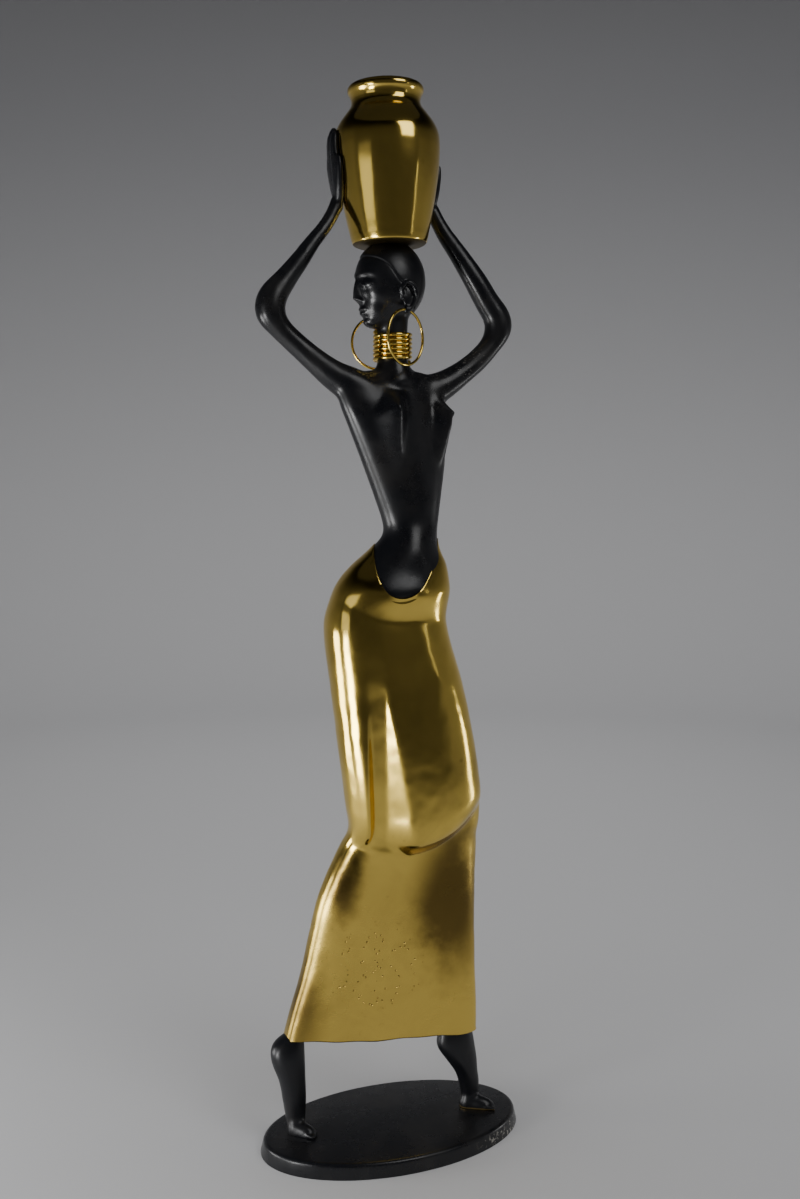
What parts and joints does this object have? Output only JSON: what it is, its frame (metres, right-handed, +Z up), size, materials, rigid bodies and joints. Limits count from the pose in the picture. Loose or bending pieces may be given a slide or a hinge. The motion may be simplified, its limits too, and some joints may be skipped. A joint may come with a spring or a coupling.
{
  "type": "brass pot carrier sculpture",
  "caption": "Tall slim standing figure in black and polished brass, carrying a hollow brass jar on the head with both raised hands, on an oval base.",
  "frame": {"origin": "middle of the oval base's underside, on the surface that the figure stands on", "axes": "+Z up, +X along the base's long axis to the viewer's right, -Y towards the viewer; the figure strides to +X and looks to -X"},
  "size_m": [0.29, 0.17, 1.1019],
  "materials": {
    "black_patina": "satin black patina over cast brass",
    "polished_brass": "polished, lightly tarnished",
    "brass_wire": "drawn and polished wire",
    "black_base": "satin black lacquer, chipped at the rim"
  },
  "bodies": {
    "root": {"base": "black_base", "rear_leg": "black_patina", "front_leg": "black_patina", "skirt": "polished_brass", "upper_body": "black_patina", "neck_coil": "brass_wire", "near_hoop": "brass_wire", "far_hoop": "brass_wire", "pot": "polished_brass"}
  },
  "joints": []
}
